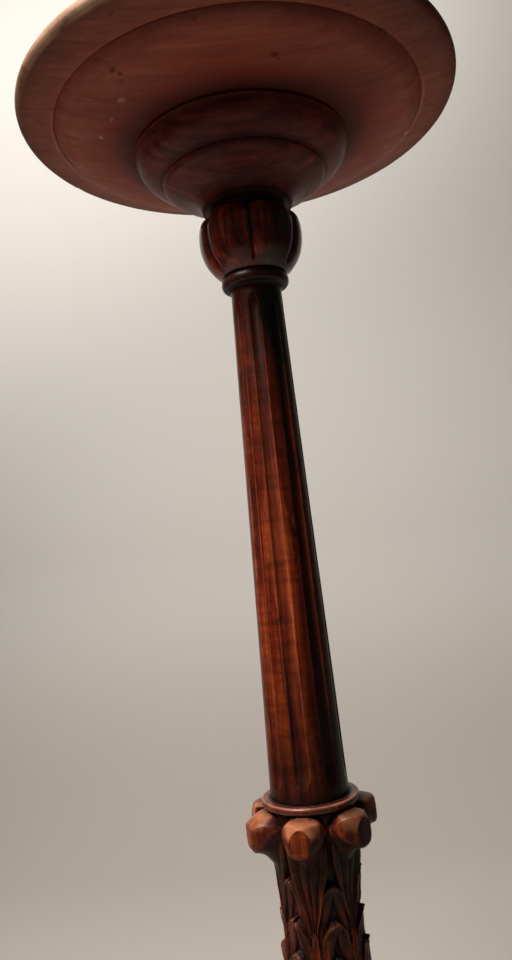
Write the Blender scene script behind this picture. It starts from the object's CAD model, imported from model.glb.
import math

import bpy
import numpy as np
from mathutils import Matrix, Vector


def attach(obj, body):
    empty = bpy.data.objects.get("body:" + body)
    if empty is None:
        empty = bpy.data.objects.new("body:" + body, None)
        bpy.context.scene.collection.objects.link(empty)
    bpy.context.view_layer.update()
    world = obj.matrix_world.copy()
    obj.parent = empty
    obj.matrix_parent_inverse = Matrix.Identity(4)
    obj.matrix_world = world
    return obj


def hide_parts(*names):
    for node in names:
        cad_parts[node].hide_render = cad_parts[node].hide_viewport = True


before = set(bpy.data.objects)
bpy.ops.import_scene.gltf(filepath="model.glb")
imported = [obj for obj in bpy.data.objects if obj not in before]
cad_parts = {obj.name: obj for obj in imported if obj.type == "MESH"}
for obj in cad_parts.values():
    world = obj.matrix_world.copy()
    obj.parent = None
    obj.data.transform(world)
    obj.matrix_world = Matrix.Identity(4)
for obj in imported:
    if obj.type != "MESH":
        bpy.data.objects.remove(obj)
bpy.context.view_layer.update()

MM = 0.001

# ------------------------------------------------------------------ camera ----
YAW, PITCH, ROLL = 0.0262, 0.0903292, 0.1044


def rotation(yaw, pitch, roll):
    cy, sy = math.cos(yaw), math.sin(yaw)
    cp, sp = math.cos(pitch), math.sin(pitch)
    cr, sr = math.cos(roll), math.sin(roll)
    z = np.array([[cy, -sy, 0], [sy, cy, 0], [0, 0, 1]])
    x = np.array([[1, 0, 0], [0, cp, -sp], [0, sp, cp]])
    y = np.array([[cr, 0, sr], [0, 1, 0], [-sr, 0, cr]])
    return z @ x @ y


cam_data = bpy.data.cameras.new("camera")
cam = bpy.data.objects.new("camera", cam_data)
bpy.context.scene.collection.objects.link(cam)
R = rotation(YAW, PITCH, ROLL)
m = Matrix.Identity(4)
for i in range(3):
    m[i][0], m[i][1], m[i][2] = R[i, 0], R[i, 2], -R[i, 1]
m[0][3], m[1][3], m[2][3] = 0.0, -0.52784, 0.640
cam.matrix_world = m
cam_data.sensor_width = 36.0
cam_data.lens = 29.02
cam_data.clip_start = 0.01
bpy.context.scene.camera = cam
bpy.context.scene.view_settings.view_transform = "Standard"
bpy.context.view_layer.update()


# ------------------------------------------------------------ small helpers ----
def lerp(z, table):
    xs = [a for a, b in table]
    ys = [b for a, b in table]
    return np.interp(z, xs, ys)


def spline(z, table):
    """Monotone cubic through (height, radius) points."""
    xs = np.array([a for a, b in table], float)
    ys = np.array([b for a, b in table], float)
    h = np.diff(xs)
    d = np.diff(ys) / h
    mm = np.zeros_like(ys)
    mm[1:-1] = np.where(
        d[:-1] * d[1:] > 0, 2 * d[:-1] * d[1:] / (d[:-1] + d[1:] + 1e-12), 0
    )
    mm[0], mm[-1] = d[0], d[-1]
    z = np.clip(z, xs[0], xs[-1])
    k = np.clip(np.searchsorted(xs, z) - 1, 0, len(xs) - 2)
    t = (z - xs[k]) / h[k]
    return (
        (2 * t**3 - 3 * t**2 + 1) * ys[k]
        + (t**3 - 2 * t**2 + t) * h[k] * mm[k]
        + (-2 * t**3 + 3 * t**2) * ys[k + 1]
        + (t**3 - t**2) * h[k] * mm[k + 1]
    )


def smooth(t):
    t = np.clip(t, 0, 1)
    return t * t * (3 - 2 * t)


def gauss(t):
    return np.exp(-t * t)


def softmin(a, b, k):
    h = np.clip(0.5 + 0.5 * (b - a) / k, 0, 1)
    return b * (1 - h) + a * h - k * h * (1 - h)


def softmax(a, b, k):
    return -softmin(-a, -b, k)


def wrap(a):
    return (a + 180.0) % 360.0 - 180.0


def value_noise(x, y, z, seed=0):
    """Smooth 3-D value noise from -1 to 1, the same every time."""
    x, y, z = np.broadcast_arrays(x, y, z)
    xi, yi, zi = (np.floor(v).astype(np.int64) for v in (x, y, z))
    xf, yf, zf = x - xi, y - yi, z - zi
    xf, yf, zf = (v * v * (3 - 2 * v) for v in (xf, yf, zf))

    def h(a, b, c):
        n = (a * 374761393 + b * 668265263 + c * 2147483647 + seed * 974711) & 0xFFFFFFFF
        n = ((n ^ (n >> 13)) * 1274126177) & 0xFFFFFFFF
        n = (n ^ (n >> 16)) & 0xFFFFFFFF
        return n / 2147483648.0 - 1.0

    out = 0
    for dx in (0, 1):
        for dy in (0, 1):
            for dz in (0, 1):
                w = (
                    (xf if dx else 1 - xf)
                    * (yf if dy else 1 - yf)
                    * (zf if dz else 1 - zf)
                )
                out = out + w * h(xi + dx, yi + dy, zi + dz)
    return out


def arc_path(points, step=0.8, corner=()):
    """Resamples a profile of (radius, height) points in mm. Stretches between the indices in corner are Catmull-Rom curves."""
    pts = np.array(points, float)
    stops = sorted({0, len(pts) - 1, *corner})
    out = [pts[0]]
    for a, b in zip(stops, stops[1:]):
        seg = pts[a : b + 1]
        if len(seg) == 2:
            n = max(1, int(round(np.linalg.norm(seg[1] - seg[0]) / step)))
            for i in range(1, n + 1):
                out.append(seg[0] + (seg[1] - seg[0]) * i / n)
            continue
        ext = np.vstack([2 * seg[0] - seg[1], seg, 2 * seg[-1] - seg[-2]])
        for k in range(1, len(ext) - 2):
            p0, p1, p2, p3 = ext[k - 1 : k + 3]
            n = max(2, int(round(np.linalg.norm(p2 - p1) / step)))
            for i in range(1, n + 1):
                t = i / n
                out.append(
                    0.5
                    * (
                        2 * p1
                        + (p2 - p0) * t
                        + (2 * p0 - 5 * p1 + 4 * p2 - p3) * t**2
                        + (3 * p1 - p0 - 3 * p2 + p3) * t**3
                    )
                )
    return np.array(out)


def build(name, verts, quads, tris, attrs=None, sharp=40.0):
    """A mesh object from arrays, in metres."""
    quads = np.asarray(quads, np.int32).reshape(-1, 4)
    tris = np.asarray(tris, np.int32).reshape(-1, 3)
    me = bpy.data.meshes.new(name)
    me.vertices.add(len(verts))
    me.vertices.foreach_set("co", np.asarray(verts, np.float32).ravel())
    loops = np.concatenate([quads.ravel(), tris.ravel()]).astype(np.int32)
    me.loops.add(len(loops))
    me.loops.foreach_set("vertex_index", loops)
    nq, nt = len(quads), len(tris)
    starts = np.concatenate([np.arange(nq) * 4, nq * 4 + np.arange(nt) * 3])
    me.polygons.add(nq + nt)
    me.polygons.foreach_set("loop_start", starts.astype(np.int32))
    me.update(calc_edges=True)
    me.validate()
    for key, values in (attrs or {}).items():
        at = me.attributes.new(key, "FLOAT", "POINT")
        at.data.foreach_set("value", np.asarray(values, np.float32).ravel())
    me.shade_smooth()
    me.set_sharp_from_angle(angle=math.radians(sharp))
    ob = bpy.data.objects.new(name, me)
    bpy.context.scene.collection.objects.link(ob)
    return ob


def sheet_of(name, P, closed, attrs=None, sharp=40.0):
    """A skin over P[row, column] in mm. Columns run round the axis, from -Y towards +X. Rows run along the profile: closed
    joins the last to the first, and otherwise each end is shut by a fan at the axis. Points run so that faces look outwards
    when the profile runs from the bottom of the axis, up the outside and in again at the top."""
    rows, cols = P.shape[:2]
    idx = np.arange(rows * cols).reshape(rows, cols)
    nxt = np.roll(idx, -1, axis=1)
    if closed:
        up, un = np.roll(idx, -1, axis=0), np.roll(nxt, -1, axis=0)
        quads = np.stack([idx, nxt, un, up], -1).reshape(-1, 4)
        verts, tris = P.reshape(-1, 3), np.zeros((0, 3), int)
        extra = None
    else:
        quads = np.stack([idx[:-1], nxt[:-1], nxt[1:], idx[1:]], -1).reshape(-1, 4)
        lo, hi = P[0].mean(0), P[-1].mean(0)
        lo[:2] = 0
        hi[:2] = 0
        verts = np.vstack([P.reshape(-1, 3), lo, hi])
        n = rows * cols
        t0 = np.stack([nxt[0], idx[0], np.full(cols, n)], -1)
        t1 = np.stack([idx[-1], nxt[-1], np.full(cols, n + 1)], -1)
        tris = np.vstack([t0, t1])
        extra = True
    made = {}
    for key, v in (attrs or {}).items():
        v = np.broadcast_to(v, (rows, cols))
        made[key] = (
            np.concatenate([v.ravel(), [v[0].mean(), v[-1].mean()]])
            if extra
            else v.ravel()
        )
    return build(name, verts * MM, quads, tris, made, sharp)


def ring_points(r, z, deg):
    """Points in mm from radius and height arrays [row, column] at the columns' azimuths."""
    a = np.radians(deg)
    return np.stack([r * np.sin(a), -r * np.cos(a), z + 0 * r], -1)


def lathe(name, profile, cols, closed, wobble=0.12, attrs=None, sharp=40.0, shape=None):
    deg = np.arange(cols) * 360.0 / cols
    r, z = profile[:, 0][:, None] + 0 * deg, profile[:, 1][:, None] + 0 * deg
    a = np.radians(deg)[None, :]
    if wobble:
        n = value_noise(np.cos(a) * 1.3 + 9, np.sin(a) * 1.3 + 4, z * 0.02 + 3)
        n2 = value_noise(np.cos(a) * 4 + 2, np.sin(a) * 4 + 7, z * 0.11 + 5)
        r = r + (n * wobble + n2 * wobble * 0.35) * smooth((r - 12) / 6)
    made = dict(attrs or {})
    if shape:
        r, z, more = shape(r, z, deg[None, :])
        made.update(more)
    return sheet_of(name, ring_points(r, z, deg[None, :]), closed, made, sharp)


def box_blur(f, n0, n1):
    """Blur of a field on the grid; the second axis wraps."""
    for axis, n in ((0, n0), (1, n1)):
        if n < 1:
            continue
        pad = [(0, 0), (0, 0)]
        pad[axis] = (n, n)
        g = np.pad(f, pad, mode="wrap" if axis == 1 else "edge")
        c = np.cumsum(g, axis=axis)
        zero = np.zeros_like(np.take(c, [0], axis=axis))
        c = np.concatenate([zero, c], axis=axis)
        k = 2 * n + 1
        hi = np.take(c, np.arange(k, c.shape[axis]), axis=axis)
        lo = np.take(c, np.arange(0, c.shape[axis] - k), axis=axis)
        f = (hi - lo) / k
    return f


# ---------------------------------------------------------------- materials ----
class Nodes:
    def __init__(self, name):
        self.mat = bpy.data.materials.new(name)
        self.mat.use_nodes = True
        self.tree = self.mat.node_tree
        self.bsdf = self.tree.nodes["Principled BSDF"]

    def add(self, kind, **kw):
        n = self.tree.nodes.new(kind)
        for k, v in kw.items():
            setattr(n, k, v)
        return n

    def link(self, a, b):
        self.tree.links.new(a, b)

    def coords(self, scale, rotate=(0, 0, 0), move=(0, 0, 0)):
        tc = self.add("ShaderNodeTexCoord")
        mp = self.add("ShaderNodeMapping")
        mp.inputs["Scale"].default_value = scale
        mp.inputs["Rotation"].default_value = rotate
        mp.inputs["Location"].default_value = move
        self.link(tc.outputs["Object"], mp.inputs["Vector"])
        return mp.outputs["Vector"]

    def noise(self, vec, scale, detail=4.0, rough=0.55, distort=0.0):
        n = self.add("ShaderNodeTexNoise")
        n.inputs["Scale"].default_value = scale
        n.inputs["Detail"].default_value = detail
        n.inputs["Roughness"].default_value = rough
        n.inputs["Distortion"].default_value = distort
        self.link(vec, n.inputs["Vector"])
        return n.outputs["Fac"]

    def voronoi(self, vec, scale, feature="F1"):
        n = self.add("ShaderNodeTexVoronoi", feature=feature)
        n.inputs["Scale"].default_value = scale
        self.link(vec, n.inputs["Vector"])
        return n.outputs["Distance"]

    def ramp(self, fac, stops, mode="LINEAR"):
        n = self.add("ShaderNodeValToRGB")
        n.color_ramp.interpolation = mode
        els = n.color_ramp.elements
        while len(els) < len(stops):
            els.new(0.5)
        for e, (p, c) in zip(els, stops):
            e.position = p
            e.color = (c, c, c, 1) if isinstance(c, (int, float)) else (*c, 1)
        self.link(fac, n.inputs["Fac"])
        return n.outputs["Color"]

    def mix(self, fac, a, b, mode="MIX"):
        n = self.add("ShaderNodeMix", data_type="RGBA", blend_type=mode)
        n.clamp_result = False
        for sock, v in ((n.inputs["Factor"], fac), (n.inputs["A"], a), (n.inputs["B"], b)):
            if isinstance(v, (int, float)):
                sock.default_value = v
            elif isinstance(v, tuple):
                sock.default_value = (*v, 1)
            else:
                self.link(v, sock)
        return n.outputs["Result"]

    def math(self, op, a, b=0.0, c=None, clamp=False):
        n = self.add("ShaderNodeMath", operation=op, use_clamp=clamp)
        for i, v in enumerate((a, b) if c is None else (a, b, c)):
            if isinstance(v, (int, float)):
                n.inputs[i].default_value = v
            else:
                self.link(v, n.inputs[i])
        return n.outputs["Value"]

    def attr(self, name):
        n = self.add("ShaderNodeAttribute", attribute_name=name)
        return n.outputs["Fac"]

    def bump(self, height, strength, distance, after=None):
        n = self.add("ShaderNodeBump")
        n.inputs["Strength"].default_value = strength
        n.inputs["Distance"].default_value = distance
        self.link(height, n.inputs["Height"])
        if after is not None:
            self.link(after, n.inputs["Normal"])
        return n.outputs["Normal"]


def wood(
    name,
    dark,
    mid,
    light,
    axis="Z",
    contrast=1.0,
    ripple=0.0,
    rough=(0.18, 0.34),
    coat=0.6,
    coat_rough=0.08,
    cavity=None,
    grime=(0.012, 0.004, 0.003),
    worn=None,
    stain=None,
    shade=None,
    tint=None,
    bump=0.25,
    blotch=9.0,
    scratches=0.0,
    specular=0.5,
    move=(0, 0, 0),
):
    """Polished mahogany. axis is the grain's direction. cavity is an attribute from 0 (hollow) over 0.5 to 1 (crest)."""
    n = Nodes(name)
    stretch = {"Z": (1, 1, 0.055), "X": (0.055, 1, 1), "Y": (1, 0.055, 1)}[axis]
    fine = {"Z": (1, 1, 0.03), "X": (0.03, 1, 1), "Y": (1, 0.03, 1)}[axis]
    g = n.coords(stretch, move=move)
    p = n.coords(fine, move=move)
    o = n.coords((1, 1, 1), move=move)
    # broad figure: slow change along the stem, wavy bands across it
    figure = n.noise(g, 120, 5, 0.6, 1.2)
    broad = n.noise(o, blotch, 3, 0.5, 0.6)
    streak = n.noise(p, 520, 3, 0.65)
    pores = n.noise(p, 1500, 2, 0.7)
    base = n.ramp(figure, [(0.30, dark), (0.5, mid), (0.72, light)])
    tone = n.ramp(broad, [(0.32, 1 - 0.5 * contrast), (0.5, 0.97), (0.68, 1 + 0.45 * contrast)])
    col = n.mix(1.0, base, tone, "MULTIPLY")
    col = n.mix(1.0, col, n.ramp(streak, [(0.35, 1 - 0.3 * contrast), (0.55, 1.0), (0.7, 1 + 0.15 * contrast)]), "MULTIPLY")
    if ripple:
        across = n.coords((0.5, 0.5, 2.4), (0.12, 0.08, 0), move)
        mottle = n.ramp(n.noise(across, 85, 3, 0.55, 0.8), [(0.36, 1 - ripple), (0.52, 1.0), (0.66, 1 + ripple * 0.6)])
        col = n.mix(1.0, col, mottle, "MULTIPLY")
    pore_mask = n.ramp(pores, [(0.60, 0.0), (0.70, 1.0)])
    col = n.mix(n.math("MULTIPLY", pore_mask, 0.55), col, grime)
    flecks = n.ramp(n.noise(o, 260, 2, 0.6), [(0.62, 0.0), (0.70, 1.0)])
    col = n.mix(n.math("MULTIPLY", flecks, 0.25), col, light)
    if cavity:
        c = n.attr(cavity)
        hollow = n.ramp(c, [(0.18, 1.0), (0.46, 0.0)])
        col = n.mix(n.math("MULTIPLY", hollow, 0.9), col, grime)
        if worn:
            crest = n.ramp(c, [(0.56, 0.0), (0.86, 1.0)])
            ragged = n.ramp(n.noise(o, 70, 4, 0.6), [(0.35, 0.25), (0.62, 1.0)])
            col = n.mix(n.math("MULTIPLY", crest, n.math("MULTIPLY", ragged, 0.85)), col, worn)
    if tint:
        col = n.mix(n.attr("tint"), col, tint)
    if shade:
        col = n.mix(1.0, col, n.ramp(n.attr(shade), [(0.0, 0.0), (1.0, 1.0)]), "MULTIPLY")
    if stain:
        s = n.attr(stain)
        ragged = n.math("ADD", s, n.math("MULTIPLY", n.math("SUBTRACT", n.noise(o, 95, 4, 0.6), 0.5), 0.9))
        mask = n.ramp(ragged, [(0.47, 0.0), (0.56, 1.0)])
        col = n.mix(n.math("MULTIPLY", mask, 0.93), col, (0.004, 0.0025, 0.002))
    n.link(col, n.bsdf.inputs["Base Color"])
    rmix = n.ramp(n.noise(o, 38, 4, 0.6), [(0.3, rough[0]), (0.7, rough[1])])
    if cavity:
        rmix = n.mix(n.math("MULTIPLY", hollow, 0.85), rmix, (0.66, 0.66, 0.66))
    n.link(rmix, n.bsdf.inputs["Roughness"])
    n.bsdf.inputs["Specular IOR Level"].default_value = specular
    n.bsdf.inputs["Coat Weight"].default_value = coat
    n.bsdf.inputs["Coat Roughness"].default_value = coat_rough
    n.bsdf.inputs["Coat IOR"].default_value = 1.52
    nrm = n.bump(n.noise(p, 900, 3, 0.7), bump * 0.5, 0.00025)
    nrm = n.bump(n.noise(o, 55, 3, 0.5), bump, 0.0006, nrm)
    nrm = n.bump(pore_mask, bump * 0.5, -0.00012, nrm)
    if scratches:
        sc = n.coords((1, 0.05, 1), (0.2, 0.4, 1.1))
        lines = n.ramp(n.noise(sc, 900, 2, 0.4), [(0.66, 0.0), (0.71, 1.0)])
        few = n.ramp(n.noise(o, 30, 2, 0.5), [(0.5, 0.0), (0.62, 1.0)])
        nrm = n.bump(n.math("MULTIPLY", lines, few), scratches, -0.0002, nrm)
    n.link(nrm, n.bsdf.inputs["Normal"])
    n.link(nrm, n.bsdf.inputs["Coat Normal"])
    return n


column_wood = wood(
    "polished_column",
    (0.030, 0.0026, 0.0010),
    (0.108, 0.0115, 0.0028),
    (0.235, 0.040, 0.0065),
    ripple=0.32,
    shade="shade",
    rough=(0.24, 0.4),
    coat=0.06,
    coat_rough=0.14,
    specular=0.2,
    cavity="cav",
    grime=(0.010, 0.0014, 0.001),
    worn=(0.36, 0.10, 0.055),
    stain="stain",
    blotch=14.0,
    bump=0.3,
)
knop_wood = wood(
    "polished_knop",
    (0.018, 0.0018, 0.0010),
    (0.056, 0.0055, 0.0022),
    (0.13, 0.019, 0.0055),
    ripple=0.3,
    shade="shade",
    rough=(0.16, 0.28),
    coat=0.16,
    coat_rough=0.07,
    specular=0.28,
    cavity="cav",
    grime=(0.005, 0.001, 0.0008),
    worn=(0.15, 0.03, 0.014),
    blotch=30.0,
    bump=0.3,
    move=(0.31, 0.12, 0.2),
)
carved = wood(
    "polished_carving",
    (0.030, 0.0030, 0.0014),
    (0.100, 0.0125, 0.0028),
    (0.28, 0.052, 0.0070),
    contrast=0.9,
    ripple=0.25,
    shade="shade",
    rough=(0.36, 0.50),
    coat=0.04,
    coat_rough=0.2,
    specular=0.14,
    cavity="cav",
    grime=(0.005, 0.0010, 0.0007),
    worn=(0.44, 0.155, 0.070),
    blotch=26.0,
    bump=0.35,
)
collar_wood = wood(
    "polished_collar",
    (0.026, 0.0035, 0.0018),
    (0.062, 0.0105, 0.0050),
    (0.13, 0.028, 0.012),
    contrast=0.7,
    rough=(0.26, 0.4),
    coat=0.1,
    coat_rough=0.14,
    specular=0.26,
    cavity="cav",
    grime=(0.005, 0.0010, 0.0007),
    worn=(0.30, 0.125, 0.085),
    blotch=30.0,
    bump=0.3,
    move=(0.1, 0.2, 0.7),
)
leg_wood = wood(
    "polished_leg",
    (0.028, 0.0030, 0.0013),
    (0.088, 0.0120, 0.0034),
    (0.22, 0.042, 0.0078),
    contrast=0.8,
    ripple=0.1,
    rough=(0.26, 0.42),
    coat=0.1,
    coat_rough=0.14,
    specular=0.3,
    cavity="cav",
    grime=(0.006, 0.0014, 0.001),
    worn=(0.30, 0.085, 0.034),
    blotch=22.0,
    bump=0.35,
    move=(0.4, 0.7, 0.3),
)
top_wood = wood(
    "worn_top",
    (0.087, 0.0212, 0.0108),
    (0.118, 0.0318, 0.0174),
    (0.156, 0.0465, 0.0262),
    axis="X",
    contrast=0.3,
    tint=(0.046, 0.0030, 0.0004),
    shade="shade",
    rough=(0.5, 0.64),
    coat=0.0,
    coat_rough=0.3,
    specular=0.16,
    cavity="cav",
    grime=(0.022, 0.005, 0.003),
    worn=(0.42, 0.24, 0.14),
    blotch=7.0,
    bump=0.2,
    scratches=0.4,
)
boss_wood = wood(
    "boss_varnish",
    (0.015, 0.0014, 0.0010),
    (0.036, 0.0048, 0.0040),
    (0.064, 0.0125, 0.0100),
    axis="X",
    contrast=0.5,
    tint=(0.050, 0.0085, 0.0040),
    rough=(0.34, 0.48),
    coat=0.0,
    coat_rough=0.3,
    specular=0.13,
    cavity="cav",
    grime=(0.004, 0.0008, 0.0006),
    worn=(0.11, 0.035, 0.024),
    blotch=16.0,
    bump=0.25,
    move=(0.2, 0.5, 0.1),
)


# ------------------------------------------------------------------ top disc ----
def disc_shape(r, z, deg):
    cav = 0.5 + 0 * r
    az = wrap(deg)
    # the rim is rubbed pale along one stretch, the inner ridge only faintly and mostly at the sides
    rubbed = 0.16 + 0.84 * gauss((az + 34.0) / 34.0)
    edge = rubbed * np.exp(-(((r - 151.5) / 2.2) ** 2))
    edge = edge + (z < 945) * (0.10 + 0.24 * smooth((np.abs(az) - 45.0) / 45.0)) * np.exp(-(((r - 129.3) / 2.0) ** 2))
    under = z < 948.5
    cav = cav + 0.42 * edge
    step = np.exp(-(((r - 128.6) / 0.6) ** 2)) * under
    cav = cav - 0.08 * step * (z < 940)
    near_boss = np.exp(-(((r - 77.0) / 3.4) ** 2)) * (z < 930)
    cav = cav - 0.2 * near_boss
    # knocks and dents on the underside and the rim
    dent = 0 * r
    for az, rad, w, d in DENTS:
        a = np.radians(wrap(deg - az))
        dent = dent + d * np.exp(-(((a * rad) / w) ** 2 + ((r - rad) / (w * 0.7)) ** 2))
    z = z + np.where(z < 946.5, dent, 0)
    cav = cav + np.where(z < 946.5, np.clip(dent * 0.75, -0.45, 0.36), 0)
    # the finish is redder in towards the boss, and darker out at the edge of the band
    low = z < 947.0
    cloud = value_noise(np.sin(np.radians(az)) * r * 0.022, np.cos(np.radians(az)) * r * 0.022, 2.0)
    near = gauss((r - 80.0) / 40.0) * (0.35 + 0.75 * np.cos(np.radians(az * 0.5 - 4)) ** 6)
    near = np.maximum(near, 0.8 * gauss((r - 122.0) / 9.0) * smooth((48 - np.abs(az - 4)) / 30.0))
    tint = np.clip(near * (0.95 + 0.6 * cloud), 0, 0.96) * low
    # old brush marks in the finish, running round
    wander = 3.0 * np.sin(np.radians(az) * 3)
    marks = 0.8 * gauss((r - 119.0 - wander) / 2.4) * smooth((64 - np.abs(az + 26)) / 30.0)
    marks = marks + 0.6 * gauss((r - 101.0 + wander) / 1.8) * smooth((20 - np.abs(az + 34)) / 12.0)
    tint = np.maximum(tint, marks * low)
    band = 0.34 * smooth((r - 129.0) / 7.0) + 0.3 * smooth((r - 138.0) / 13.0)
    shade = 0.84 * (1.0 - low * (band + 0.26 * cloud - 0.14))
    shoulder = gauss((r - 125.0) / 4.5) * smooth((np.abs(az) - 50.0) / 45.0)
    shade = shade * (1 + 0.22 * low * shoulder) * (1 - 0.3 * low * marks)
    shade = shade * (1 - 0.5 * low * gauss((r - 79.0) / 9.0))
    shade = shade * (1 - 0.14 * low * np.exp(-(((r - 131.5) / 2.0) ** 2)))
    return r, z, {"cav": np.clip(cav, 0, 1), "tint": tint + 0 * r, "shade": np.clip(shade, 0, 1) + 0 * r}


DENTS = [
    (-46.0, 99.0, 2.4, 1.1),
    (-58.0, 96.0, 1.5, 0.8),
    (-72.0, 98.0, 1.6, 0.9),
    (-64.0, 92.0, 0.8, 0.4),
    (105.0, 129.0, 1.5, 0.6),
    (108.0, 115.0, 1.1, 0.5),
    (-96.0, 118.0, 1.2, 0.5),
    (-118.0, 150.0, 1.8, 0.9),
    (165.0, 132.0, 1.6, 0.5),
    (-37.0, 118.0, 1.9, -0.9),
    (-36.0, 113.5, 1.4, -0.9),
    (-38.0, 109.0, 1.0, -0.7),
    (15.0, 100.0, 1.9, -1.0),
    (16.5, 97.0, 1.1, -0.8),
    (-8.0, 125.0, 1.3, -0.6),
    (-26.0, 142.0, 1.4, -0.6),
    (-38.0, 150.0, 1.6, -0.8),
    (31.0, 133.0, 1.2, -0.5),
]
profile = arc_path(
    [
        (8.0, 921.7),
        (75.2, 921.7),
        (77.0, 921.9),
        (84.0, 923.8),
        (94.0, 926.3),
        (108.0, 929.2),
        (118.0, 931.8),
        (124.2, 935.0),
        (127.2, 938.2),
        (127.9, 939.6),
        (128.9, 938.9),
        (139.0, 941.4),
        (149.4, 943.9),
        (151.8, 945.8),
        (152.5, 949.0),
        (151.4, 952.2),
        (148.4, 954.0),
        (144.2, 953.4),
        (141.0, 951.2),
        (138.4, 949.2),
        (134.5, 948.0),
        (8.0, 948.0),
    ],
    1.0,
    corner=(1, 2, 8, 9, 10, 20),
)
disc = lathe("top_disc_wood", profile, 300, False, 0.18, shape=disc_shape)
disc.data.materials.append(top_wood.mat)
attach(disc, "root")
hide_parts("top_disc")


# ---------------------------------------------------------------------- boss ----
def boss_shape(r, z, deg):
    cav = 0.5 + 0 * r
    outer = (r > 30) & (z > 878)
    cav = cav + 0.34 * gauss((z - 919.8) / 0.8) * (r > 74.6)
    cav = cav + 0.18 * np.exp(-(((r - 57.3) / 1.4) ** 2 + ((z - 899.6) / 1.6) ** 2))
    cav = cav - 0.22 * np.exp(-(((r - 58.2) / 2.6) ** 2 + ((z - 901.9) / 1.3) ** 2))
    cav = cav - 0.3 * np.exp(-(((z - 879.0) / 2.0) ** 2)) * outer
    tint = 0.5 * smooth((z - 916.0) / 4.0) * (r > 73.0) + 0 * r
    return r, z, {"cav": np.clip(cav, 0, 1), "tint": 0.9 * tint}


profile = arc_path(
    [
        (8.0, 905.8),
        (10.3, 905.8),
        (10.3, 878.2),
        (30.9, 878.2),
        (31.8, 879.2),
        (33.0, 882.6),
        (36.6, 886.8),
        (42.5, 890.6),
        (49.5, 893.6),
        (54.6, 896.0),
        (57.2, 898.6),
        (57.5, 900.2),
        (57.5, 901.3),
        (60.2, 902.7),
        (66.0, 905.4),
        (70.8, 909.2),
        (74.0, 914.4),
        (75.2, 917.8),
        (75.8, 919.4),
        (75.7, 920.6),
        (75.0, 921.4),
        (8.0, 921.4),
    ],
    0.8,
    corner=(1, 2, 3, 4, 20, 21),
)
boss = lathe("boss_turning", profile, 220, False, 0.16, shape=boss_shape)
boss.data.materials.append(boss_wood.mat)
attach(boss, "root")
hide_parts("top_boss")

# ---------------------------------------------------------------------- knop ----
KNOP_PHASE, KNOP_LOBES = 1.5, 6


def knop_shape(r, z, deg):
    outer = smooth((r - 21.0) / 2.0) * smooth((z - 830.2) / 2.5)
    pitch = 360.0 / KNOP_LOBES
    local = (deg - KNOP_PHASE + pitch / 2) % pitch - pitch / 2  # 0 in a groove
    s = np.abs(local) / (pitch / 2)  # 0 groove, 1 lobe's middle
    along = smooth((z - 829.9) / 7.0) * smooth((875.0 - z) / 1.5)
    lobe = np.clip(1 - (1 - s) ** 5.0, 0, 1) ** 0.55
    top = smooth((z - 861.0) / 13.0)
    depth = 2.9 * (1 - lobe) + 0.9 * (1 - s) ** 2 + 1.4 * top * (1 - s) ** 2.2
    rr = np.where(z < 873.8, r - depth * along * outer, r)
    # lobes arch down towards the grooves at the shoulder
    zz = z - 2.6 * top * (1 - s) ** 2.6 * smooth((r - 27.5) / 3.0) * (z < 873.8)
    ripple = 0.18 * np.cos(np.radians(local * 9)) * along * outer * (1 - top)
    rr = rr + np.where(z < 873.8, ripple, 0)
    cav = 0.5 - 0.28 * gauss(s / 0.075) * along + 0.14 * gauss((s - 0.2) / 0.08) * along
    cav = np.where(z > 871.8, 0.1, cav)
    shade = 1 - 0.8 * smooth((wrap(deg) + 2.0) / 36.0) * smooth((150.0 - wrap(deg)) / 50.0) + 0 * r
    return rr, zz, {"cav": np.clip(cav, 0, 1) + 0 * r, "shade": shade}


profile = arc_path(
    [
        (10.3, 829.8),
        (22.6, 829.8),
        (28.0, 834.2),
        (32.6, 841.0),
        (35.2, 848.4),
        (36.2, 856.0),
        (35.9, 863.4),
        (34.4, 868.6),
        (31.6, 872.2),
        (27.8, 873.8),
        (26.3, 874.6),
        (26.3, 877.9),
        (10.3, 877.9),
    ],
    0.6,
    corner=(1, 9, 11, 12),
)
profile = np.vstack([profile, arc_path([(10.3, 877.9), (10.3, 829.8)], 3.0)[1:-1]])
knop = lathe("knop_turning", profile, 420, True, 0.12, shape=knop_shape, sharp=50)
knop.data.materials.append(knop_wood.mat)
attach(knop, "root")
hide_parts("knop")

# -------------------------------------------------------------------- column ----
FLUTES, FLUTE_PHASE = 8, -8.5


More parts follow.
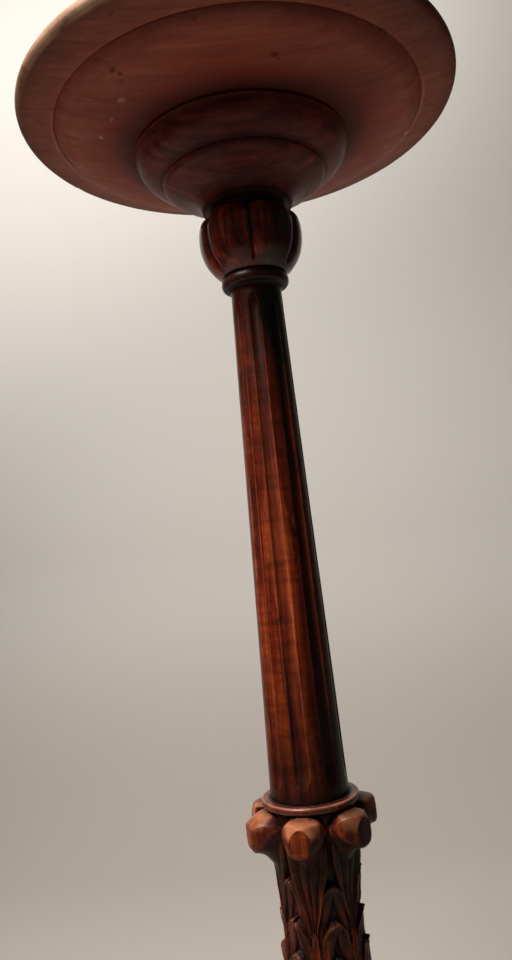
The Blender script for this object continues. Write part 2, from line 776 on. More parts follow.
def column_shape(r, z, deg):
    pitch = 360.0 / FLUTES
    local = (deg - FLUTE_PHASE + pitch / 2) % pitch - pitch / 2
    k = np.round((deg - FLUTE_PHASE - local) / pitch)
    rad = 26.0 + (17.6 - 26.0) * (z - 478.3) / (816.0 - 478.3)
    u = np.radians(local) * rad  # mm across the flute
    half = 0.192 * rad
    half = half * (1 + 0.03 * np.sin(k * 2.3 + 1))
    # rounded ends
    top, low = 811.5 + 1.2 * np.sin(k * 1.7), 487.0 + 0.9 * np.cos(k * 2.1)
    end = np.minimum(top - z, z - low)
    t = np.clip(end / (1.7 * half), -1, 1)
    allowed = half * np.sqrt(np.clip(1 - (1 - t) ** 2, 0, 1)) * (end > 0)
    x = np.abs(u) / np.maximum(allowed, 1e-3)
    depth = np.where(x < 1, np.sqrt(np.clip(1 - x**2, 0, 1)), 0) * 0.115 * rad
    depth = depth * np.clip(allowed / half, 0, 1) * (0.25 + 0.75 * smooth(end / (2.6 * half)))
    shaft = (r > 14) & (z > 478.4) & (z < 816.0)
    depth = np.where(shaft, depth, 0)
    edge = np.abs(np.abs(u) - allowed)
    crest = gauss(edge / 0.7) * (np.abs(u) >= allowed - 0.4) * (allowed > 0.4) * shaft
    ends = np.clip((end + 3) / 6, 0, 1)
    r2 = r - depth - 0.16 * gauss((np.abs(u) - allowed) / 0.55) * shaft * (allowed > 0.3)
    cav = 0.5 - 0.13 * np.clip(depth / (0.115 * rad), 0, 1) + 0.27 * crest * ends
    cav = cav - 0.35 * gauss((z - 478.6) / 1.6) * shaft
    cav = cav - 0.4 * gauss((z - 820.2) / 1.5) * (r > 14)
    cav = cav + 0.22 * gauss((z - 824.8) / 1.8) * (r > 22)
    # spilt dark stain down one side of the neck
    az = wrap(deg)
    mid = 34.0 + 5 * np.sin(z * 0.06)
    side = 1 - smooth((np.abs(az - mid) - 20.0) / 13.0)
    low_edge = 772.0 + 9 * np.sin(np.radians(az) * 5 + 1) + 5 * np.sin(np.radians(az) * 13)
    down = smooth((z - low_edge) / 7.0)
    stain = side * down * (z < 822) * (r > 14)
    # small crack and a dark knot
    crack = smooth((12.0 - np.abs(az + 25.0)) / 3.0) * gauss((z - 594.0 - (az + 25.0) * 0.16) / 0.7) * shaft
    knot = gauss(np.hypot((az - 23.6) / 15.0, (z - 648.5) / 6.0)) * shaft
    spot = gauss(np.hypot((az - 22.2) / 5.0, (z - 656.0) / 2.6)) * shaft
    r2 = r2 - 0.35 * crack
    cav = cav - 0.35 * crack + 0.3 * spot
    stain = np.maximum(stain, knot * 0.62)
    # the finish is darkest at both ends of the shaft and along the right-hand side
    shade = lerp(z, [(478, 0.15), (492, 0.28), (520, 0.54), (560, 0.78), (640, 1.02), (735, 0.90), (768, 0.56), (792, 0.30), (830, 0.22)])
    shade = shade * (1 - 0.66 * smooth((az - 2.0) / 46.0) * smooth((170.0 - az) / 60.0))
    shade = shade * (0.88 + 0.12 * np.clip(depth / (0.115 * rad), 0, 1) + 0.10 * gauss((wrap(deg + 62.0)) / 26.0))
    shade = shade * (0.95 + 0.05 * np.sin(z * 0.045 + np.radians(az) * 1.5))
    return r2, z, {"cav": np.clip(cav, 0, 1), "stain": stain + 0 * r, "shade": np.clip(shade, 0, 1) + 0 * r}


def stretch(a, b, step):
    n = max(1, int(round(abs(b - a) / step)))
    return [a + (b - a) * i / n for i in range(n + 1)]


shaft_z = (
    stretch(478.7, 484.0, 0.9)
    + stretch(484.6, 494.0, 0.5)
    + stretch(496.0, 803.0, 5.2)
    + stretch(804.4, 814.6, 0.5)
    + [815.2, 815.9]
)
profile = np.vstack(
    [
        arc_path([(3.0, 434.0), (10.4, 434.0), (11.0, 434.8), (11.0, 478.3), (25.4, 478.3)], 2.5, corner=(1, 2, 3)),
        np.array([(26.0 + (17.6 - 26.0) * (z - 478.3) / 337.7, z) for z in shaft_z]),
        arc_path(
            [
                (17.6, 816.8),
                (18.0, 819.0),
                (19.0, 820.6),
                (20.6, 821.1),
                (22.2, 821.7),
                (23.3, 823.4),
                (23.5, 825.6),
                (22.9, 828.0),
                (21.6, 829.1),
                (20.0, 829.5),
                (10.0, 829.5),
            ],
            0.45,
            corner=(3, 9),
        ),
        np.array([(10.0, 870.0), (10.0, 904.8), (9.2, 905.5), (3.0, 905.5)]),
    ]
)
column = lathe("column_fluted", profile, 480, False, 0.10, shape=column_shape, sharp=48)
column.data.materials.append(column_wood.mat)
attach(column, "root")
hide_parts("column")


# -------------------------------------------------------------- collar ring ----
def collar_shape(r, z, deg):
    cav = 0.5 + 0.3 * gauss((r - 31.3) / 0.8) * (z > 476.4) + 0.2 * gauss((z - 474.6) / 0.5) * (r > 31)
    cav = cav - 0.4 * smooth((28.4 - r) / 1.2) - 0.35 * (z < 473.8)
    return r, z, {"cav": np.clip(cav, 0, 1)}


profile = arc_path(
    [
        (11.3, 473.2),
        (30.2, 473.2),
        (31.5, 473.7),
        (32.2, 474.8),
        (32.3, 476.4),
        (31.8, 477.6),
        (30.9, 478.0),
        (11.3, 478.0),
    ],
    0.4,
    corner=(1, 6, 7),
)
profile = np.vstack([profile, [(11.3, 476.5), (11.3, 474.7)]])
collar = lathe("collar_turning", profile, 240, True, 0.12, shape=collar_shape)
collar.data.materials.append(collar_wood.mat)
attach(collar, "root")
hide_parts("collar_ring")

# -------------------------------------------------------- carved baluster ----
LEAVES, LEAF_PHASE = 6, -13.3
GROUND = [
    (262.3, 38.2),
    (266.5, 38.6),
    (268.2, 37.6),
    (270.0, 35.6),
    (276.0, 36.6),
    (288.0, 38.2),
    (300.0, 38.4),
    (316.0, 36.6),
    (334.0, 32.9),
    (352.0, 29.0),
    (368.0, 26.0),
    (382.0, 24.3),
    (396.0, 23.2),
    (412.0, 22.8),
    (426.0, 23.4),
    (438.0, 25.0),
    (450.0, 26.6),
    (462.0, 27.8),
    (468.0, 28.2),
    (472.9, 28.4),
]
# Side lobes of each leaf: tip height, length, lift in mm, and the tip's place and half-width as shares of half a sector.
SIDE_LOBES = [
    (430.5, 40.0, 4.6, 0.86, 0.34),
    (406.5, 42.0, 4.8, 0.82, 0.36),
    (386.0, 44.0, 5.0, 0.80, 0.36),
    (363.0, 46.0, 4.9, 0.80, 0.36),
    (339.0, 48.0, 4.8, 0.80, 0.36),
    (314.0, 48.0, 4.4, 0.80, 0.36),
    (290.0, 46.0, 3.4, 0.80, 0.36),
]
UNDERCUT = [
    (432.0, 22.0),
    (434.7, 24.4),
    (438.0, 26.6),
    (441.0, 29.2),
    (444.5, 32.0),
    (447.0, 35.4),
    (448.4, 39.4),
    (449.2, 42.0),
    (451.5, 43.6),
    (456.0, 44.5),
]


def carving(z, deg):
    """Radius and cavity over the baluster's outside."""
    ground = spline(z, GROUND)
    pitch = 360.0 / LEAVES
    local = (deg - LEAF_PHASE + pitch / 2) % pitch - pitch / 2
    k = np.round((deg - LEAF_PHASE - local) / pitch) % LEAVES
    # hand-cut leaves are never quite alike
    local = local + (0.8 * np.sin(k * 2.1 + z * 0.05) + 0.5 * np.sin(z * 0.21 + k)) * smooth((30 - np.abs(local)) / 6.0)
    zz = z + 0.9 * np.sin(k * 1.9 + 0.6)
    v = local / (pitch / 2)
    av = np.abs(v)
    H = 0.0 * z + 0 * deg
    seam = 0.0 * H  # 1 along undercut edges, for grime
    for top, length, lift, tip_v, tip_w in SIDE_LOBES:
        hand = np.sign(v)
        peak = top + 1.8 * np.sin(k * 3.1 + hand * 1.3 + top)
        t = np.clip((zz - (peak - length)) / length, -0.3, 1.3)  # 0 at the root, 1 at the tip
        tc = np.clip(t, 0, 1)
        c = 0.17 + (tip_v - 0.17) * tc**1.35
        w = 0.10 + (tip_w - 0.10) * np.sin(np.clip(tc, 0, 1) * np.pi * 0.62) ** 0.8
        x = (av - c) / w
        crown = peak - 6.0 * np.abs(x - 0.15) ** 2.0 + 2.2 * x
        below = crown - zz
        down = np.clip(below, 0, 99)
        body = np.clip(1 - np.abs(x) ** 2.4, 0, 1) ** 0.6
        h = (0.9 + (lift - 0.9) * tc**1.6) * (0.25 + 0.75 * body)
        # a gouged hollow under the lip, and two veins along the lobe
        h = h - 1.3 * gauss((x + 0.05) / 0.42) * smooth((below - 1.2) / 4.0) * np.exp(-down / 12.0)
        h = h + 0.24 * np.cos(np.pi * 2.1 * (x - 0.1)) * smooth((below - 5.0) / 6.0) * smooth(t / 0.2)
        h = h + 0.5 * gauss((below - 1.6) / 1.5)
        h = h * smooth((below + 0.5) / 1.7) * smooth((1.08 - np.abs(x)) / 0.26) * smooth(t / 0.16)
        higher = h > H
        seam = np.maximum(
            seam * (1 - 0.9 * higher * smooth(below / 2.0)),
            gauss((below + 1.2) / 1.4) * (np.abs(x) < 1.05),
        )
        seam = np.maximum(seam, 0.7 * gauss((np.abs(x) - 1.08) / 0.10) * (below > 0) * (t > 0.1))
        H = np.maximum(H, h)
    # fan of broad veins running up into each tip
    fan_w = lerp(zz, [(392, 0.06), (402, 0.18), (412, 0.38), (422, 0.60), (432, 0.80), (440, 0.93), (470, 0.98)])
    q = v / np.maximum(fan_w, 1e-3)
    inside = smooth((1.03 - np.abs(q)) / 0.10) * smooth((zz - 392) / 8.0)
    vein = np.abs(np.sin(np.pi * q / 0.5)) ** 0.75
    up = lerp(zz, [(392, 2.2), (406, 3.2), (422, 3.6), (436, 3.4), (460, 1.6)])
    lip = 1.1 * gauss((np.abs(q) - 0.86) / 0.13) * smooth((zz - 400) / 8.0)
    fan = (up * (0.72 + 0.20 * q**2) + 1.2 * (vein - 0.8) + lip) * inside
    seam = seam * (1 - inside)
    seam = np.maximum(seam, 0.6 * inside * gauss(vein / 0.35) * smooth((zz - 400) / 6.0))
    H = np.maximum(H, fan * smooth((462.0 - zz) / 10.0))
    # bundle of fine ribs below the fan
    stem_w = lerp(zz, [(268, 0.30), (300, 0.27), (360, 0.24), (390, 0.22), (404, 0.14)])
    s = v / stem_w
    stem_in = smooth((1.02 - np.abs(s)) / 0.16) * smooth((406 - zz) / 10.0)
    stem = (3.3 * (1 - 0.25 * s**2) + 0.45 * np.abs(np.cos(np.pi * 2.2 * s)) - 0.2) * stem_in
    H = softmax(H, stem, 0.2)
    live = smooth((z - 269.5) / 2.5) * smooth((471.0 - z) / 3.0)
    H = H * live
    r = ground + H
    # snub tips under the collar: a cone about an oval cut, flat on top and undercut below
    phi = np.radians(local - 12.0 * (k == 4))
    u = phi * 38.0
    zt = zz + 0.02 * u * np.where(k % 2 > 0, 1.0, -1.0)
    face = np.hypot(u / 6.1, (zt - 460.4) / 9.2)
    reach = 43.2 + 0.9 * (k == 5) + 1.8 * (k == 4)
    cone = reach + 0.004 * u**2 - 6.3 * np.clip(face - 1, 0, 9) ** 0.96
    oval = face < 1.0
    flank = (36.9 + 2.0 * (k == 4) + 1.5 * ((k == 0) & (u > 0)) + 0.5 * np.sin(k * 2.7 + np.sign(u))) / np.cos(np.abs(phi) - math.radians(43))
    crest_z = 472.5 - 0.00107 * np.abs(u) ** 3.11
    # the top slopes outwards, most on the tip at the left
    slope = np.where(k == 5, 8.6, 2.9)
    over = 28.0 + (15.8 + 0.6 * (k == 5)) * np.clip((crest_z - z) / slope, 0, 1) ** 0.56
    under = spline(zz + 1.3 * (k == 5) - 2.4 * (k != 5) - 0.058 * u**2, UNDERCUT) + 0.9 * (k == 5) + 1.8 * (k == 4)
    tip = softmin(softmin(softmin(cone, reach / np.cos(phi), 0.05), flank, 0.15), over, 0.5)
    tip = softmin(tip, under, 0.35)
    tip = np.where((zz > 430) & (np.abs(u) < 19.5), tip, 0)
    is_tip = tip > r + 0.3
    oval = oval & (tip > reach / np.cos(phi) - 0.45)
    r = softmax(r, tip, 0.35)
    return r, seam, is_tip, oval, live, u


cols = 330
zs = np.concatenate([
    np.array(stretch(263.0, 300.0, 0.95)),
    np.array(stretch(300.9, 366.0, 0.85)),
    np.array(stretch(366.6, 446.6, 0.52)),
    np.array(stretch(446.9, 451.9, 0.24)),
    np.array(stretch(452.3, 472.3, 0.5)),
])
deg = np.arange(cols) * 360.0 / cols
Z, D = np.meshgrid(zs, deg, indexing="ij")
rr, seam, is_tip, oval, live, u = carving(Z, D)
rr = rr + 0.10 * value_noise(D * 0.35, Z * 0.18, 1.0) + 0.05 * value_noise(D * 1.1, Z * 0.5, 4.0)
relief = rr - box_blur(rr, 7, 5)
fine = rr - box_blur(rr, 2, 2)
cav = 0.5 + relief * 0.095 + fine * 0.17 - 0.35 * seam * (fine < 0.15)
cav = np.minimum(cav, 0.61)
lit = 0.34 * smooth((Z - 462.0 + 0.25 * np.abs(u)) / 6.0) * smooth((13.5 - np.abs(u)) / 4.0)
cav = np.where(is_tip, np.clip(cav, 0.42, 0.58) + lit, cav)
cav = np.where(oval & is_tip, 0.52, cav)
shade = 0.33 + 0.11 * relief
shade = shade + 0.24 * gauss((Z - 384.0) / 14.0) * gauss(u / 7.0)
shade = np.where(is_tip, 1.0 - 0.55 * smooth((np.abs(u) - 6.0) / 8.0) * smooth((462.0 - Z) / 8.0), shade)
shade = np.where(is_tip, shade * (1 - 0.6 * smooth((451.0 - Z) / 6.0)), shade)
shade = np.where(is_tip & ~oval, 0.74 * shade, shade)
shade = shade * (1 - 0.5 * gauss((Z - 441.0) / 9.0) * ~is_tip)
shade = np.where(Z > 470.8, 0.5 * shade, shade)
round_back = smooth((wrap(D) - 22.0) / 14.0) + smooth((-wrap(D) - 104.0) / 12.0)
shade = shade * (1 - 0.62 * np.clip(round_back, 0, 1) * (Z > 436.0))
shade = box_blur(np.clip(shade, 0.10, 1.0), 1, 1)
cav = np.where((Z > 471.4) & ~is_tip, 0.12, cav)
skirt_lo = arc_path([(3.0, 200.0), (10.4, 200.0), (11.0, 200.8), (11.0, 262.3), (37.6, 262.3)], 3.0, corner=(1, 2, 3))
skirt_hi = arc_path([(27.8, 472.9), (11.3, 472.9), (11.3, 433.5), (3.0, 433.5)], 3.0, corner=(1, 2))


def skirt(p):
    return ring_points(p[:, 0][:, None] + 0 * deg, p[:, 1][:, None] + 0 * deg, deg[None, :])


P = np.concatenate([skirt(skirt_lo), ring_points(rr, Z, D), skirt(skirt_hi)])
C = np.concatenate([0.3 + 0 * skirt(skirt_lo)[..., 0], cav, 0.2 + 0 * skirt(skirt_hi)[..., 0]])
S = np.concatenate([0.4 + 0 * skirt(skirt_lo)[..., 0], shade, 0.3 + 0 * skirt(skirt_hi)[..., 0]])
baluster = sheet_of("baluster_carving", P, False, {"cav": np.clip(C, 0, 1), "shade": S}, sharp=55)
baluster.data.materials.append(carved.mat)
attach(baluster, "root")
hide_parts("acanthus_baluster")

# ------------------------------------------------------------------- legs ----
# Stations of the cabriole leg: centre out, centre height, depth in its plane, slope down in degrees, width.
LEG_STATIONS = [
    (26.0, 178.0, 102.0, 0.0, 24.0),
    (48.0, 178.0, 102.0, 0.0, 25.0),
    (60.0, 174.5, 90.0, 14.0, 27.0),
    (71.0, 166.5, 74.0, 30.0, 29.0),
    (82.0, 152.0, 59.0, 46.0, 28.5),
    (91.0, 134.0, 47.0, 59.0, 26.5),
    (98.0, 113.0, 36.5, 68.0, 23.5),
    (103.0, 90.0, 28.0, 73.0, 20.5),
    (107.5, 68.0, 22.0, 72.0, 18.0),
    (113.0, 49.0, 19.5, 62.0, 17.5),
    (120.0, 38.0, 18.5, 44.0, 18.0),
    (131.0, 32.0, 15.0, 20.0, 16.0),
    (141.0, 31.0, 9.0, 5.0, 10.0),
]
FOOT = (142.0, 0.0, 17.4)
BALL = 15.9


def surface_net(f, low, step):
    """Quads over the zero level of a field sampled at grid corners; the field is negative inside."""
    inside = f < 0
    total = np.zeros(tuple(n - 1 for n in f.shape), np.int8)
    corners = [(i, j, k) for i in (0, 1) for j in (0, 1) for k in (0, 1)]
    nx, ny, nz = total.shape
    for i, j, k in corners:
        total += inside[i : i + nx, j : j + ny, k : k + nz]
    active = (total > 0) & (total < 8)
    ci, cj, ck = np.nonzero(active)
    index = np.full(total.shape, -1, np.int64)
    index[ci, cj, ck] = np.arange(len(ci))
    acc = np.zeros((len(ci), 3))
    cnt = np.zeros(len(ci))
    for a, b in [(p, q) for p in corners for q in corners if p < q and sum(abs(x - y) for x, y in zip(p, q)) == 1]:
        fa = f[ci + a[0], cj + a[1], ck + a[2]]
        fb = f[ci + b[0], cj + b[1], ck + b[2]]
        hit = (fa < 0) != (fb < 0)
        t = np.where(hit, fa / np.where(hit, fa - fb, 1.0), 0.0)
        for d in range(3):
            acc[:, d] += np.where(hit, a[d] + (b[d] - a[d]) * t, 0)
        cnt += hit
    verts = (np.stack([ci, cj, ck], -1) + acc / cnt[:, None]) * step + np.array(low)
    quads = []
    for axis in range(3):
        lo = [slice(1, -1)] * 3
        hi = [slice(1, -1)] * 3
        lo[axis] = slice(0, -1)
        hi[axis] = slice(1, None)
        change = inside[tuple(lo)] != inside[tuple(hi)]
        start = inside[tuple(lo)]
        e = np.nonzero(change)
        g = [e[0], e[1], e[2]]
        for d in range(3):
            if d != axis:
                g[d] = g[d] + 1
        o1, o2 = [d for d in range(3) if d != axis]

        def cell(s1, s2):
            q = [x.copy() for x in g]
            q[o1] -= s1
            q[o2] -= s2
            return index[q[0], q[1], q[2]]

        quad = np.stack([cell(1, 1), cell(0, 1), cell(0, 0), cell(1, 0)], -1)
        flip = start[e] if axis != 1 else ~start[e]
        quad[~flip] = quad[~flip][:, ::-1]
        quads.append(quad)
    return verts, np.concatenate(quads)


def rounded(points, n):
    """n points evenly spaced along a smooth curve through the given rows."""
    pts = np.array(points, float)
    ext = np.vstack([2 * pts[0] - pts[1], pts, 2 * pts[-1] - pts[-2]])
    out = []
    for i in range(1, len(ext) - 2):
        p0, p1, p2, p3 = ext[i - 1 : i + 3]
        t = np.linspace(0, 1, 24, endpoint=False)[:, None]
        out.append(
            0.5 * (2 * p1 + (p2 - p0) * t + (2 * p0 - 5 * p1 + 4 * p2 - p3) * t**2 + (3 * p1 - p0 - 3 * p2 + p3) * t**3)
        )
    out = np.vstack(out + [pts[-1:]])
    walk = np.concatenate([[0], np.cumsum(np.linalg.norm(np.diff(out[:, :2], axis=0), axis=1))])
    s = np.linspace(0, walk[-1], n)
    return np.stack([np.interp(s, walk, out[:, c]) for c in range(out.shape[1])], -1)


def edge_curve(sign):
    rows = []
    for out, up, depth, slope, width in LEG_STATIONS:
        a = math.radians(slope)
        rows.append((out + sign * depth / 2 * math.sin(a), up + sign * depth / 2 * math.cos(a), width))
    return rounded(rows, 260)


def nearest(curve, o, u):
    """Signed distance (positive on the left of the way), arc length and width at the nearest point of a plane curve."""
    P = np.stack([o.ravel(), u.ravel()], -1)
    dist = np.full(len(P), 1e9)
    best = np.zeros(len(P), int)
    for i in range(len(curve)):
        d = (P[:, 0] - curve[i, 0]) ** 2 + (P[:, 1] - curve[i, 1]) ** 2
        m = d < dist
        dist[m] = d[m]
        best[m] = i
    walk = np.concatenate([[0], np.cumsum(np.linalg.norm(np.diff(curve[:, :2], axis=0), axis=1))])
    tang = np.gradient(curve[:, :2], axis=0)
    tang /= np.linalg.norm(tang, axis=1)[:, None]
    off = P - curve[best, :2]
    along = (off * tang[best]).sum(1)
    sign = tang[best, 0] * off[:, 1] - tang[best, 1] * off[:, 0]
    s = walk[best] + along
    shape = o.shape
    return sign.reshape(shape), s.reshape(shape), curve[best, 2].reshape(shape)


def knee_leaf(s, psi):
    """Lift in mm of the leaf carved over the knee, and its tone. psi is degrees round the section from the outer edge."""
    wide = lerp(s, [(0, 112), (24, 116), (48, 104), (74, 80), (96, 56), (112, 34), (124, 10), (130, 0.1)])
    row = (s + 15.0 * np.abs(psi) / 100.0) / 18.0
    k = np.floor(row)
    f = row - k
    wide = wide * (0.86 + 0.14 * np.abs(np.sin(np.pi * f)) ** 0.6)
    x = np.abs(psi) / np.maximum(wide, 1e-3)
    inside = smooth((1.0 - x) / 0.07) * smooth((s - 3.0) / 4.0) * smooth((128.0 - s) / 5.0)
    rib = gauss(psi / 7.5) * smooth((122 - s) / 20.0)
    groove = gauss(np.minimum(f, 1 - f) / 0.085) * smooth((x - 0.16) / 0.16)
    vein = gauss((f - 0.5) / 0.10) * smooth((x - 0.1) / 0.2) * smooth((0.95 - x) / 0.1)
    puff = np.abs(np.sin(np.pi * f)) ** 0.7 * smooth((x - 0.1) / 0.25)
    h = (1.1 + 0.9 * puff + 1.0 * rib - 1.0 * groove - 0.35 * vein + 0.5 * gauss((x - 0.9) / 0.07)) * inside
    edge = gauss((x - 1.05) / 0.05) * smooth((s - 3.0) / 4.0) * smooth((126.0 - s) / 5.0)
    tone = 0.5 + (0.16 * rib - 0.34 * groove - 0.1 * vein + 0.12 * gauss((x - 0.88) / 0.06)) * inside - 0.34 * edge
    return h, tone


def talon(angle):
    """Points of one claw over the ball, (out, across, up, radius)."""
    c, s_ = math.cos(math.radians(angle)), math.sin(math.radians(angle))
    rows = []
    for lat, lift, rad in ((72, 1.2, 4.4), (50, 1.9, 4.5), (32, 0.9, 3.4), (12, 1.4, 3.8), (-8, 0.7, 2.9), (-25, 1.0, 3.1), (-42, 0.4, 2.1), (-56, -0.1, 1.0)):
        a = math.radians(lat)
        rr = BALL + lift
        rows.append((FOOT[0] + rr * math.cos(a) * c, rr * math.cos(a) * s_, FOOT[2] + rr * math.sin(a), rad))
    return rows


def capsules(pts, O, A, U):
    best = np.full(O.shape, 1e3)
    for (x0, y0, z0, r0), (x1, y1, z1, r1) in zip(pts, pts[1:]):
        bx, by, bz = x1 - x0, y1 - y0, z1 - z0
        t = np.clip(((O - x0) * bx + (A - y0) * by + (U - z0) * bz) / (bx * bx + by * by + bz * bz), 0, 1)
        d = np.sqrt((O - x0 - bx * t) ** 2 + (A - y0 - by * t) ** 2 + (U - z0 - bz * t) ** 2)
        best = softmin(best, d - (r0 + (r1 - r0) * t), 0.5)
    return best


def leg_field(O, A, U, flat):
    """The leg's field at points (out, across, up); flat holds the in-plane terms."""
    top_s, top_d, bot_d, width = flat
    depth = np.maximum(top_d + bot_d, 2.0)
    n = np.clip((bot_d - top_d) / depth, -3, 3)
    half = width / 2
    norm = (np.abs(A / half) ** 2.5 + np.abs(n) ** 2.5) ** (1 / 2.5)
    psi = np.degrees(np.arctan2(np.abs(A) / half, n))
    lift, tone = knee_leaf(top_s, psi)
    body = (norm - 1) * np.minimum(half, depth / 2) - lift
    # an arris down the shin
    body = body - 0.5 * gauss(psi / 14.0) * smooth((top_s - 118) / 20.0)
    body = softmax(body, O - 143.0, 3.0)
    ball = np.sqrt((O - FOOT[0]) ** 2 + A**2 + ((U - FOOT[2]) / 1.03) ** 2) - BALL
    claws = np.full(O.shape, 1e3)
    near = (O > 112) & (U < 60)
    sub = (O[near], A[near], U[near])
    got = None
    for ang in (0.0, 78.0, -78.0, 180.0):
        c = capsules(talon(ang), *sub)
        got = c if got is None else softmin(got, c, 1.2)
    claws[near] = got
    grip = softmin(body, claws, 4.0)
    f = softmin(grip, ball, 0.5)
    contact = gauss((ball - claws) / 1.3) * (ball < 1.2) * (claws < 1.6) * (U < 34)
    is_ball = ball < claws
    tone = np.where(claws < body - 1.0, 0.56, tone)
    tone = np.where(is_ball & (ball < body), 0.52, tone) - 0.36 * contact
    return f, tone


def make_leg():
    step = 0.95
    low = np.array([31.15, -23.75, 1.4])
    n = [int(round(v / step)) + 1 for v in (135.85, 47.5, 233.0)]
    o = low[0] + np.arange(n[0]) * step
    a = low[1] + np.arange(n[1]) * step
    u = low[2] + np.arange(n[2]) * step
    top, bottom = edge_curve(1), edge_curve(-1)

    def plane(oo, uu):
        ts, tl, tw = nearest(top, oo, uu)
        bs, bl, bw = nearest(bottom, oo, uu)
        return tl - 22.0, -ts, bs, tw * 0.5 + bw * 0.5

    O2, U2 = np.meshgrid(o, u, indexing="ij")
    flat = [v[:, None, :] for v in plane(O2, U2)]
    O, A, U = np.meshgrid(o, a, u, indexing="ij")
    f, _ = leg_field(O, A, U, flat)
    f = softmax(f, 36.4 - np.hypot(O, A), 0.5)
    f = softmax(f, 2.35 - U, 0.3)
    V, Q = surface_net(f, low, step)
    flat_v = plane(V[:, 0], V[:, 2])
    _, tone = leg_field(V[:, 0], V[:, 1], V[:, 2], flat_v)
    return V, Q, tone


leg_v, leg_q, leg_tone = make_leg()
for name, turn in (("leg_front", 0.0), ("leg_right", 120.0), ("leg_left", 240.0)):
    t = math.radians(turn)
    out, side = np.array([math.sin(t), -math.cos(t)]), np.array([math.cos(t), math.sin(t)])
    xyz = np.empty_like(leg_v)
    xyz[:, :2] = leg_v[:, :1] * out + leg_v[:, 1:2] * side
    xyz[:, 2] = leg_v[:, 2]
    leg = build(name + "_carved", xyz * MM, leg_q, [], {"cav": leg_tone}, sharp=60)
    leg.data.materials.append(leg_wood.mat)
    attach(leg, "root")
    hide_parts(name)

# -------------------------------------------------- ring and hub below the carving ----
def base_shape(r, z, deg):
    cav = 0.5 + 0.25 * gauss((z - 252.0) / 2.4) * (r > 41) - 0.4 * gauss((z - 258.5) / 1.0) * (r > 30)
    cav = cav - 0.35 * (z < 247.2) - 0.3 * (z > 261.6)
    return r, z, {"cav": np.clip(cav, 0, 1) + 0 * r}


profile = arc_path(
    [
        (11.3, 246.3),
        (37.6, 246.3),
        (40.4, 247.2),
        (42.6, 249.2),
        (43.3, 252.0),
        (42.5, 254.6),
        (40.2, 256.4),
        (38.3, 257.3),
        (37.9, 258.5),
        (38.5, 259.5),
        (39.4, 260.4),
        (39.3, 261.4),
        (38.4, 262.0),
        (11.3, 262.0),
    ],
    0.6,
    corner=(1, 7, 9, 12),
)
profile = np.vstack([profile, arc_path([(11.3, 262.0), (11.3, 246.3)], 2.5)[1:-1]])
ring = lathe("base_ring_turning", profile, 260, True, 0.12, shape=base_shape)
ring.data.materials.append(leg_wood.mat)
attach(ring, "root")
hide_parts("base_ring")


def metal(name, dark, light, rust, rough, amount):
    """Old metal: brushed tone, dark patches and rust in the low spots."""
    n = Nodes(name)
    o = n.coords((1, 1, 1))
    fine = n.coords((1, 6, 1), (0.3, 0.2, 0.5))
    base = n.mix(n.ramp(n.noise(o, 120, 4, 0.6), [(0.35, 0.0), (0.65, 1.0)]), dark, light)
    brushed = n.ramp(n.noise(fine, 700, 2, 0.6), [(0.3, 0.78), (0.7, 1.1)])
    col = n.mix(1.0, base, brushed, "MULTIPLY")
    patch = n.ramp(n.noise(o, 210, 5, 0.7), [(0.62 - amount * 0.2, 0.0), (0.70, 1.0)])
    col = n.mix(n.math("MULTIPLY", patch, 0.8), col, rust)
    n.link(col, n.bsdf.inputs["Base Color"])
    n.link(n.ramp(n.noise(o, 160, 4, 0.6), [(0.3, rough[0]), (0.7, rough[1])]), n.bsdf.inputs["Roughness"])
    n.link(n.math("SUBTRACT", 1.0, n.math("MULTIPLY", patch, 0.85)), n.bsdf.inputs["Metallic"])
    nrm = n.bump(n.noise(o, 900, 3, 0.6), 0.4, 0.0002)
    n.link(n.bump(patch, 0.4, 0.0002, nrm), n.bsdf.inputs["Normal"])
    return n.mat


def felt():
    """Pressed wool: matted fibres over a mottled tone."""
    n = Nodes("pressed_felt")
    o = n.coords((1, 1, 1))
    fibre = n.noise(n.coords((1, 3.5, 1), (0.4, 0.1, 0.8)), 900, 4, 0.7, 1.5)
    base = n.ramp(n.noise(o, 180, 4, 0.6), [(0.3, (0.018, 0.026, 0.016)), (0.7, (0.042, 0.058, 0.036))])
    col = n.mix(1.0, base, n.ramp(fibre, [(0.35, 0.6), (0.65, 1.35)]), "MULTIPLY")
    n.link(col, n.bsdf.inputs["Base Color"])
    n.bsdf.inputs["Roughness"].default_value = 0.95
    n.bsdf.inputs["Specular IOR Level"].default_value = 0.1
    n.bsdf.inputs["Sheen Weight"].default_value = 0.35
    n.link(n.bump(fibre, 0.7, 0.0004), n.bsdf.inputs["Normal"])
    return n.mat


iron_mat = metal("forged_iron", (0.020, 0.019, 0.018), (0.060, 0.056, 0.052), (0.085, 0.034, 0.015), (0.42, 0.62), 0.5)
steel_mat = metal("screw_steel_worn", (0.16, 0.15, 0.135), (0.36, 0.34, 0.31), (0.11, 0.055, 0.028), (0.28, 0.48), 0.3)
felt_mat = felt()
for name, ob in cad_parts.items():
    kept = steel_mat if "screw" in name else felt_mat if "pad" in name else iron_mat if name == "brace_plate" else None
    if kept:
        ob.data.materials.clear()
        ob.data.materials.append(kept)


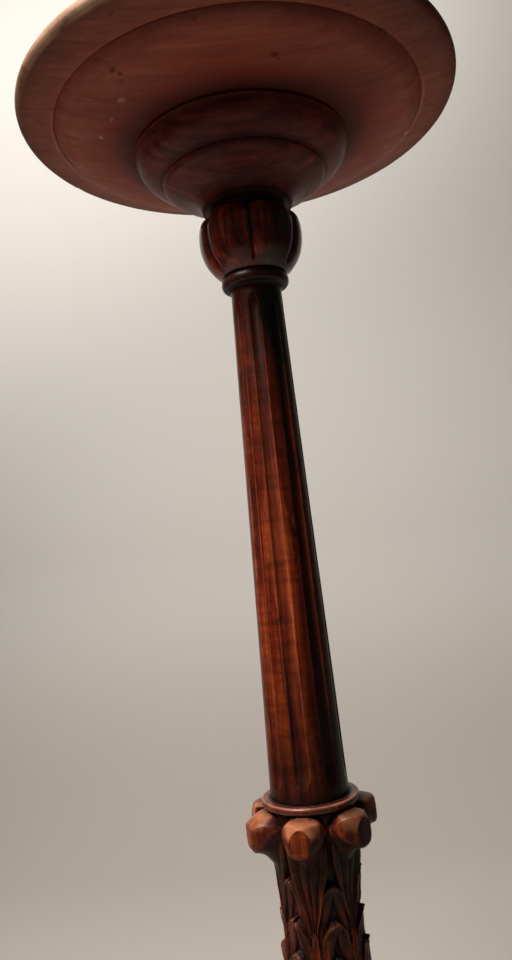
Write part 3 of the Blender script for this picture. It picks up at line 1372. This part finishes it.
def hub_shape(r, z, deg):
    """A turned drum flattened slightly where each leg beds against it."""
    cav = 0.5 + 0.24 * gauss((z - 244.6) / 0.8) * (r > 34) - 0.34 * gauss((z - 238.2) / 1.2) * (r > 30)
    cav = cav - 0.3 * gauss((z - 231.6) / 0.7) * (r > 30) + 0.18 * gauss((z - 229.8) / 0.8) * (r > 30)
    cav = cav + 0.16 * gauss((z - 134.6) / 1.0) * (r > 30) - 0.3 * gauss((z - 136.4) / 0.6) * (r > 30)
    near = np.abs((deg + 60.0) % 120.0 - 60.0)
    seam = gauss((np.radians(near) * 36.0 - 12.9) / 0.9) * (z > 130) * (z < 228.6) * (r > 34)
    joint = (near < 16.5) & (z < 229.5) & (z > 128.5) & (r > 30)
    cav = np.where(joint, 0.2, cav) - 0.36 * seam
    return r, z, {"cav": np.clip(cav, 0, 1) + 0 * r}


profile = np.vstack(
    [
        arc_path(
            [
                (3.0, 128.3),
                (31.6, 128.3),
                (33.4, 128.9),
                (34.8, 130.4),
                (35.6, 132.4),
                (35.8, 134.4),
                (35.2, 136.2),
                (36.0, 137.4),
            ],
            0.6,
            corner=(1, 6, 7),
        ),
        arc_path([(36.0, 138.4), (36.0, 228.6)], 3.0),
        arc_path(
            [
                (36.0, 229.6),
                (35.9, 230.6),
                (35.1, 231.6),
                (35.1, 232.6),
                (34.4, 234.6),
                (33.2, 237.4),
                (33.1, 239.6),
                (34.3, 241.6),
                (35.4, 243.0),
                (35.8, 244.6),
                (35.5, 246.0),
                (11.3, 246.0),
            ],
            0.6,
            corner=(2, 3, 7, 10),
        ),
        arc_path([(11.3, 244.0), (11.3, 199.5), (3.0, 199.5)], 3.0, corner=(1,)),
    ]
)
hub = lathe("leg_hub_turning", profile, 260, False, 0.12, shape=hub_shape)
hub.data.materials.append(leg_wood.mat)
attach(hub, "root")
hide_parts("leg_hub")

# ------------------------------------------------------------ floor and light ----
def backdrop_cloth():
    """Pale cloth, deeper in tone towards the floor."""
    n = Nodes("backdrop_cloth")
    tc = n.add("ShaderNodeTexCoord")
    sep = n.add("ShaderNodeSeparateXYZ")
    n.link(tc.outputs["Object"], sep.inputs["Vector"])
    height = n.math("MULTIPLY", sep.outputs["Z"], 0.5)
    tone = n.ramp(
        height,
        [(0.0, (0.38, 0.345, 0.31)), (0.10, (0.44, 0.405, 0.365)), (0.22, (0.62, 0.585, 0.54)), (0.36, (0.78, 0.745, 0.70)), (0.60, (0.84, 0.80, 0.75))],
        "B_SPLINE",
    )
    n.link(tone, n.bsdf.inputs["Base Color"])
    n.bsdf.inputs["Roughness"].default_value = 0.95
    n.bsdf.inputs["Specular IOR Level"].default_value = 0.1
    return n.mat


sweep = []
for k in range(0, 25):
    a = math.radians(90 * k / 24)
    sweep.append((1.1 + 0.7 * math.sin(a), 0.7 - 0.7 * math.cos(a)))
path = [(-3.0, 0.0)] + sweep + [(1.8, 3.2)]
verts, quads = [], []
for y, z in path:
    verts += [(-3.2, y, z), (3.2, y, z)]
for k in range(len(path) - 1):
    quads.append((2 * k, 2 * k + 1, 2 * k + 3, 2 * k + 2))
floor = build("backdrop", np.array(verts), quads, [])
floor.data.materials.append(backdrop_cloth())


def softbox(name, at, target, size, power, colour=(1, 1, 1), spread=180):
    d = bpy.data.lights.new(name, "AREA")
    d.shape = "RECTANGLE"
    d.size, d.size_y = size
    d.energy = power
    d.color = colour
    d.spread = math.radians(spread)
    o = bpy.data.objects.new(name, d)
    bpy.context.scene.collection.objects.link(o)
    o.location = at
    o.rotation_euler = (Vector(target) - Vector(at)).to_track_quat("-Z", "Y").to_euler()
    return o


softbox("over", (-0.72, -0.62, 1.95), (0, 0, 0.6), (0.7, 0.7), 21, (1.0, 0.965, 0.92), spread=100)
fill = softbox("fill", (-1.15, -0.85, 0.95), (0, 0, 0.66), (0.7, 0.8), 4.5, (1.0, 0.96, 0.9))
fill.visible_glossy = False
low_left = softbox("low_left", (-0.6, 0.42, 0.12), (0, 0, 0.93), (0.4, 0.4), 0.62, (1.0, 0.95, 0.88), spread=46)
low_left.visible_glossy = False
low_right = softbox("low_right", (0.6, 0.42, 0.12), (0, 0, 0.93), (0.4, 0.4), 0.45, (1.0, 0.95, 0.88), spread=46)
low_right.visible_glossy = False
softbox("wall_top", (-0.35, 0.9, 2.7), (-0.35, 1.8, 1.5), (2.2, 0.6), 19.5, (1.0, 0.975, 0.94))
softbox("wall_mid", (-0.8, 0.6, 2.0), (-0.8, 1.8, 0.7), (1.4, 0.6), 9, (1.0, 0.975, 0.94))
world = bpy.data.worlds.new("world")
world.use_nodes = True
world.node_tree.nodes["Background"].inputs["Color"].default_value = (0.9, 0.87, 0.83, 1)
world.node_tree.nodes["Background"].inputs["Strength"].default_value = 0.05
bpy.context.scene.world = world
